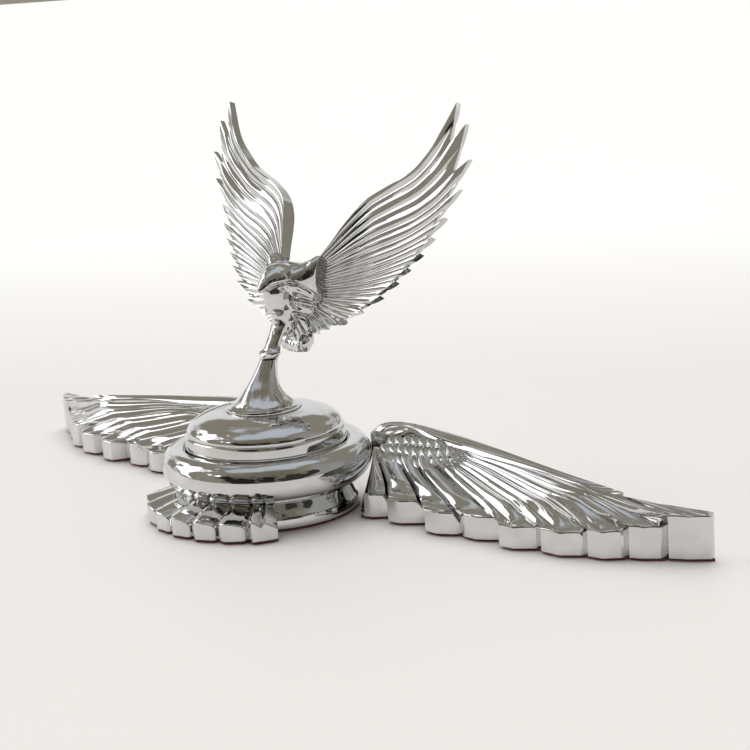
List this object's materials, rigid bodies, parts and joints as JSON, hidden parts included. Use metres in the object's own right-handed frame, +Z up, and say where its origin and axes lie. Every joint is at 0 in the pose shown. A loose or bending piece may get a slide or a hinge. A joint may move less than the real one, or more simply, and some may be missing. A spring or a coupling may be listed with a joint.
{
  "type": "hood ornament",
  "caption": "Chromed eagle with raised wings on a sprung dome that tilts and turns in a saucer base with two long wings and a tail fan; tape-mounted.",
  "frame": {"origin": "on the stud's axis, in the plane that the tape's liner lies on", "axes": "+X along the right base wing, -Y the way the eagle and the tail fan face, +Z up"},
  "size_m": [0.256, 0.0716, 0.1086],
  "materials": {
    "chrome": "polished",
    "zinc_steel": "satin",
    "bush_plastic": "matte",
    "ring_rubber": "matte",
    "foam": "matte",
    "liner": "gloss"
  },
  "bodies": {
    "base": {"base_centre": "chrome", "base_wing_left": "chrome", "base_wing_right": "chrome", "wing_screws": "zinc_steel", "guide_bush": "bush_plastic", "friction_ring": "ring_rubber", "foam_tape_centre": "foam", "foam_tape_left": "foam", "foam_tape_right": "foam", "liner_centre": "liner", "liner_left": "liner", "liner_right": "liner"},
    "spring_seat": {"spring_washer": "zinc_steel", "spring": "zinc_steel"},
    "mascot": {"dome_cap": "chrome", "perch": "chrome", "bird_body": "chrome", "bird_wing_left": "chrome", "bird_wing_right": "chrome", "wing_dowels": "zinc_steel", "perch_pin": "zinc_steel", "locating_pins": "zinc_steel", "stud": "zinc_steel", "clamp_nut": "zinc_steel", "lock_nut": "zinc_steel"}
  },
  "joints": [
    {"name": "tilt", "type": "hinge", "parent": "base", "child": "spring_seat", "pos_m": [0, 0.0216, 0.01875], "axis": [-1, 0, 0], "range_deg": [0, 10], "stiffness_Nm_per_rad": 0.6, "springref_deg": -16.04, "deforming": ["spring"]},
    {"name": "spin", "type": "hinge", "parent": "spring_seat", "child": "mascot", "pos_m": [0, 0, 0.0184], "axis": [0, 0, 1], "continuous": true}
  ]
}
